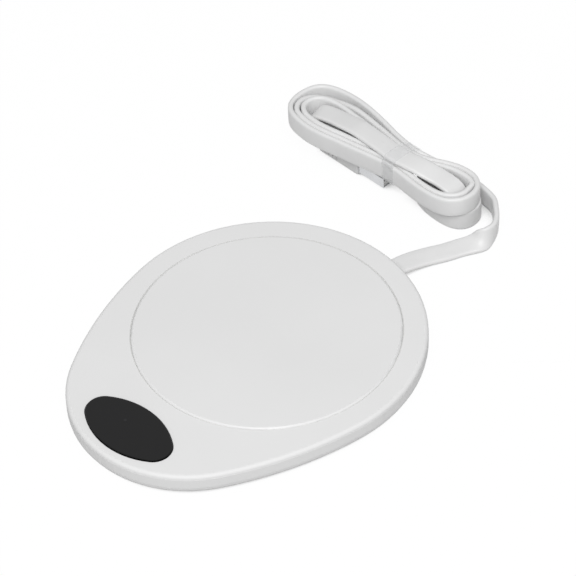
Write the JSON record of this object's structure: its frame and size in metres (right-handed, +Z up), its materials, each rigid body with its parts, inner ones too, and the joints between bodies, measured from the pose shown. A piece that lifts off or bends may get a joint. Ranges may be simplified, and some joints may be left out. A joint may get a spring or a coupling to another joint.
{
  "type": "electric mug warmer",
  "caption": "Flat teardrop-shaped electric coaster with a round raised heating plate, an oval push key in its nose and a flat supply cord folded into a tied hank",
  "frame": {"origin": "centre of the body's footprint on the surface that the feet stand on, without the supply cord", "axes": "+Z up; +Y to the rear, where the cord leaves; -Y to the nose with the push key; +X to the right seen from the nose"},
  "size_m": [0.1267, 0.1776, 0.0182],
  "materials": {
    "shell_white": "fine satin moulded surface",
    "key_black": "semi-gloss black",
    "guide_smoke": "smoked clear",
    "plate_coat": "satin powder coat on aluminium",
    "foot_rubber": "matt",
    "gasket_silicone": "matt",
    "cord_vinyl": "soft satin",
    "plug_vinyl": "soft satin",
    "tie_film": "clear film",
    "steel": "zinc plated",
    "plug_steel": "nickel plated sheet",
    "aluminium": "mill finish sheet",
    "film_amber": "amber film",
    "copper": "etched foil",
    "contact_gold": "gold flash",
    "felt": "needled glass felt",
    "board_green": "solder mask",
    "chip_black": "moulded resin",
    "ceramic_tan": "fired ceramic",
    "header_nylon": "natural nylon",
    "lead_white": "silicone insulation",
    "lead_red": "vinyl insulation",
    "lead_yellow": "vinyl insulation",
    "led_lens": "clear resin"
  },
  "bodies": {
    "body": {"top_cover": "shell_white", "bottom_shell": "shell_white", "rubber_feet": "foot_rubber", "case_screws": "steel", "heating_plate": "plate_coat", "plate_gasket": "gasket_silicone", "heater_film": "film_amber", "heater_track": "copper", "insulation_felt": "felt", "heat_shield": "aluminium", "shield_screws": "steel", "heat_sensor": "chip_black", "thermal_cutoff": "header_nylon", "switch_case": "chip_black", "indicator_led": "led_lens", "control_board": "board_green", "board_screws": "steel", "board_chips": "chip_black", "board_capacitor": "ceramic_tan", "lead_headers": "header_nylon", "supply_leads": "lead_red", "heater_leads": "lead_white", "sensor_leads": "lead_yellow", "cord_grommet": "cord_vinyl", "cord_clamp": "shell_white", "clamp_screws": "steel", "cord_run": "cord_vinyl", "cord_hank": "cord_vinyl", "hank_tie": "tie_film", "plug_grip": "plug_vinyl", "plug_shell": "plug_steel", "plug_tongue": "header_nylon", "plug_contacts": "contact_gold"},
    "key": {"key_cap": "key_black", "key_light_guide": "guide_smoke", "switch_plunger": "chip_black"}
  },
  "joints": [
    {"name": "key_press", "type": "slide", "parent": "body", "child": "key", "axis": [0, 0, -1], "range_m": [0, 0.0004], "stiffness_N_per_m": 3000}
  ]
}
